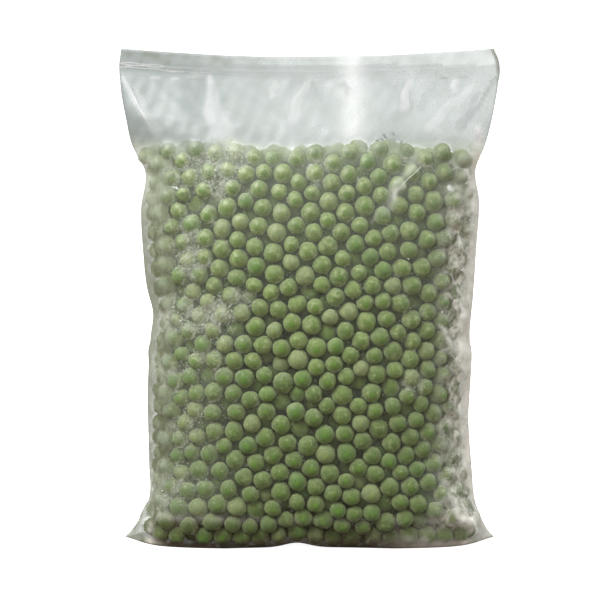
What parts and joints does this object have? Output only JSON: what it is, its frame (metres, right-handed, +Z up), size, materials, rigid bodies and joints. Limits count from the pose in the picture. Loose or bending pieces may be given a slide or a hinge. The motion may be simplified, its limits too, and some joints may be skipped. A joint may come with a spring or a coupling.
{
  "type": "frozen pea bag",
  "caption": "Standing clear film bag of frozen green peas, heat-sealed across the top, with an empty neck, a bulging body and two flat ears at the base.",
  "frame": {"origin": "on the ground, under the middle of the bag's outline", "axes": "+Z up to the sealed top edge, +X along the bag's width, to the right as the shown face is seen, -Y towards that face"},
  "size_m": [0.1782, 0.0574, 0.235],
  "materials": {
    "pea_filled_film": "pale green peas under clear, faintly milky film",
    "film": "clear thin film, glossy, milky where it stands off the peas",
    "pea_skin": "satin green skin with a dusting of frost",
    "frost": "white, grainy"
  },
  "bodies": {
    "root": {"pea_bag": "pea_filled_film"}
  },
  "joints": []
}
